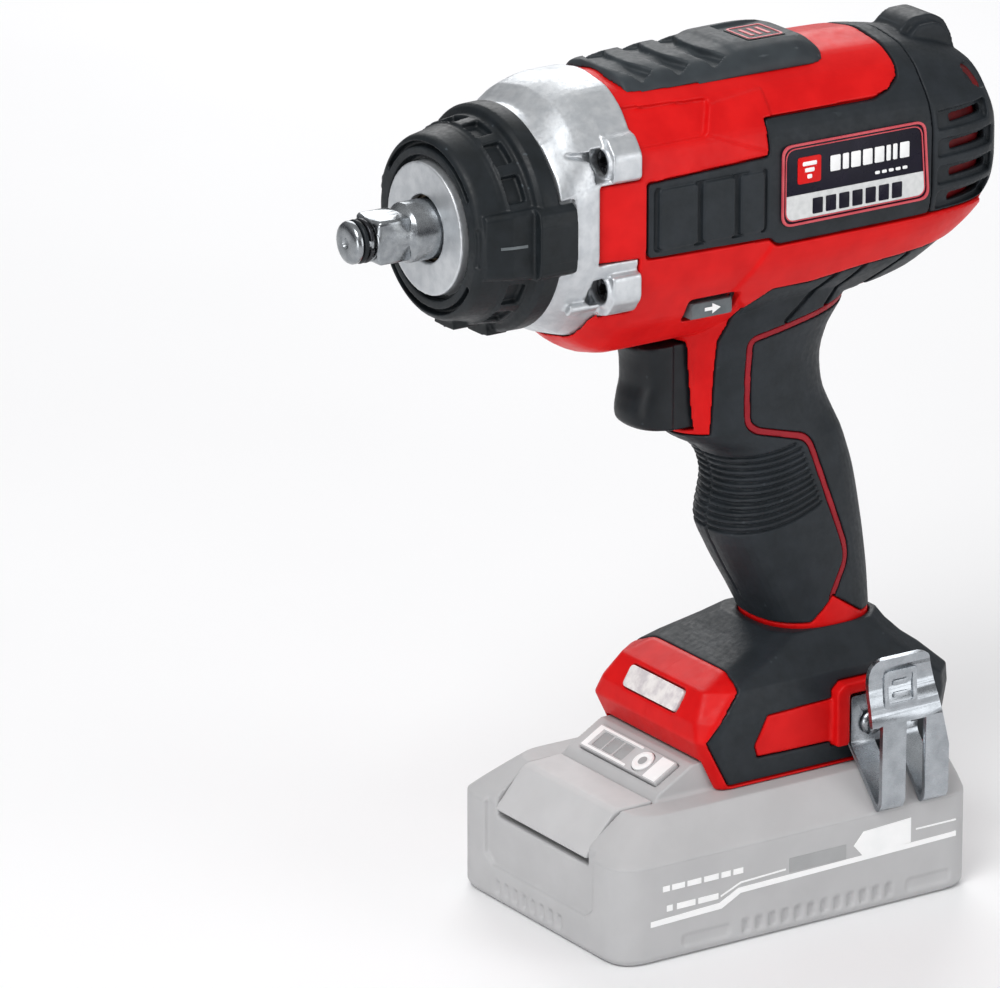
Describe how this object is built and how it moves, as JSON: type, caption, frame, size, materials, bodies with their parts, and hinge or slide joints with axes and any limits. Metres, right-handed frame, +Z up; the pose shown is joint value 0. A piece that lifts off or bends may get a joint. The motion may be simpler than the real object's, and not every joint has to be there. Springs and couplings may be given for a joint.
{
  "type": "cordless impact wrench",
  "caption": "Cordless impact wrench with a square drive, moulded pistol grip, trigger, direction slider, belt hook and a slide-on battery pack.",
  "frame": {"origin": "centre of the battery's bottom face, where the tool stands", "axes": "+X forward along the anvil, +Y to the tool's left, +Z up along the handle"},
  "size_m": [0.2108, 0.0889, 0.2581],
  "materials": {
    "red_nylon": "satin moulded nylon, fine texture",
    "soft_overmould": "matt thermoplastic rubber, fine texture",
    "pad_rubber": "matt thermoplastic rubber",
    "bumper_rubber": "satin black rubber",
    "black_plastic": "satin black moulding",
    "cast_aluminium": "blasted light silver casting",
    "bright_steel": "ground and polished steel",
    "dark_steel": "black oxide steel",
    "hook_steel": "nickel-plated sheet steel",
    "bearing_steel": "polished bearing steel",
    "bronze": "sintered bronze bush",
    "motor_core": "steel stack with copper windings",
    "slider_grey": "satin grey moulding",
    "battery_shell": "pale grey matt moulding",
    "battery_marks": "white panel",
    "work_light": "milky diffuser over small diodes",
    "badge_foil": "dark printed foil with a silver strip",
    "circuit_board": "green lacquered board",
    "cell_can": "sleeved can, as heavy as the real cell"
  },
  "bodies": {
    "housing": {"left_housing": "red_nylon", "right_housing": "red_nylon", "rear_cover": "soft_overmould", "top_pad": "pad_rubber", "left_side_pad": "soft_overmould", "right_side_pad": "soft_overmould", "left_badge": "badge_foil", "right_badge": "badge_foil", "left_grip": "soft_overmould", "right_grip": "soft_overmould", "left_foot_skin": "soft_overmould", "right_foot_skin": "soft_overmould", "hammer_case": "cast_aluminium", "nose_bumper": "bumper_rubber", "case_screw_1": "dark_steel", "case_screw_2": "dark_steel", "case_screw_3": "dark_steel", "case_screw_4": "dark_steel", "anvil_bushing": "bronze", "ring_gear": "dark_steel", "gearbox_plate": "cast_aluminium", "stator": "motor_core", "front_bearing": "bearing_steel", "rear_bearing": "bearing_steel", "trigger_switch": "black_plastic", "trigger_spring": "bearing_steel", "work_light_lens": "work_light", "control_board": "circuit_board", "terminal_block": "black_plastic", "belt_hook": "hook_steel", "belt_hook_screw": "dark_steel"},
    "camshaft": {"camshaft": "dark_steel", "cam_ball_1": "bearing_steel", "cam_ball_2": "bearing_steel", "planet_pin_1": "bearing_steel", "planet_pin_2": "bearing_steel", "planet_pin_3": "bearing_steel", "hammer_spring": "bearing_steel"},
    "hammer": {"hammer": "dark_steel"},
    "anvil": {"anvil": "bright_steel", "friction_ring": "dark_steel", "anvil_o_ring": "bumper_rubber"},
    "rotor": {"rotor": "dark_steel", "cooling_fan": "black_plastic"},
    "planet_1": {"planet_gear_1": "bright_steel"},
    "planet_2": {"planet_gear_2": "bright_steel"},
    "planet_3": {"planet_gear_3": "bright_steel"},
    "trigger": {"trigger": "black_plastic"},
    "direction_selector": {"direction_selector": "slider_grey"},
    "battery": {"battery_case": "battery_shell", "battery_lid": "battery_shell", "gauge_panel": "battery_marks", "cell_1": "cell_can", "cell_2": "cell_can", "cell_3": "cell_can", "cell_4": "cell_can", "cell_5": "cell_can"},
    "battery_release": {"battery_release": "battery_shell"},
    "gauge_button": {"gauge_button": "battery_marks"}
  },
  "joints": [
    {"name": "camshaft_spin", "type": "hinge", "parent": "housing", "child": "camshaft", "pos_m": [0.04, 0, 0.217], "axis": [1, 0, 0], "continuous": true},
    {"name": "hammer_retract", "type": "slide", "parent": "camshaft", "child": "hammer", "axis": [-1, 0, 0], "range_m": [0, 0.007], "stiffness_N_per_m": 15000, "springref_m": -0.003, "deforming": ["hammer_spring"]},
    {"name": "anvil_spin", "type": "hinge", "parent": "housing", "child": "anvil", "pos_m": [0.09, 0, 0.217], "axis": [1, 0, 0], "continuous": true},
    {"name": "rotor_spin", "type": "hinge", "parent": "housing", "child": "rotor", "pos_m": [0, 0, 0.217], "axis": [1, 0, 0], "continuous": true},
    {"name": "planet_spin_1", "type": "hinge", "parent": "camshaft", "child": "planet_1", "pos_m": [0.0328, 0, 0.2302], "axis": [1, 0, 0], "continuous": true},
    {"name": "planet_spin_2", "type": "hinge", "parent": "camshaft", "child": "planet_2", "pos_m": [0.0328, -0.01143, 0.2104], "axis": [1, 0, 0], "continuous": true},
    {"name": "planet_spin_3", "type": "hinge", "parent": "camshaft", "child": "planet_3", "pos_m": [0.0328, 0.01143, 0.2104], "axis": [1, 0, 0], "continuous": true},
    {"name": "trigger_pull", "type": "slide", "parent": "housing", "child": "trigger", "axis": [-1, 0, 0], "range_m": [0, 0.0065], "stiffness_N_per_m": 900, "springref_m": -0.003, "deforming": ["trigger_spring"]},
    {"name": "direction_slide", "type": "slide", "parent": "housing", "child": "direction_selector", "axis": [0, 1, 0], "range_m": [-0.0025, 0.0025]},
    {"name": "battery_slide", "type": "slide", "parent": "housing", "child": "battery", "axis": [1, 0, 0], "range_m": [0, 0.085]},
    {"name": "battery_release_press", "type": "slide", "parent": "battery", "child": "battery_release", "axis": [0, 0, -1], "range_m": [0, 0.002], "stiffness_N_per_m": 1500, "springref_m": -0.001},
    {"name": "gauge_button_press", "type": "slide", "parent": "battery", "child": "gauge_button", "axis": [-0.4993, 0, -0.8664], "range_m": [0, 0.0006], "stiffness_N_per_m": 1500, "springref_m": -0.0005}
  ],
  "couplings": [
    {"joint": "anvil_spin", "follows": "camshaft_spin", "ratio": 1},
    {"joint": "rotor_spin", "follows": "camshaft_spin", "ratio": 5.5},
    {"joint": "planet_spin_1", "follows": "camshaft_spin", "ratio": -2.5714},
    {"joint": "planet_spin_2", "follows": "camshaft_spin", "ratio": -2.5714},
    {"joint": "planet_spin_3", "follows": "camshaft_spin", "ratio": -2.5714}
  ]
}
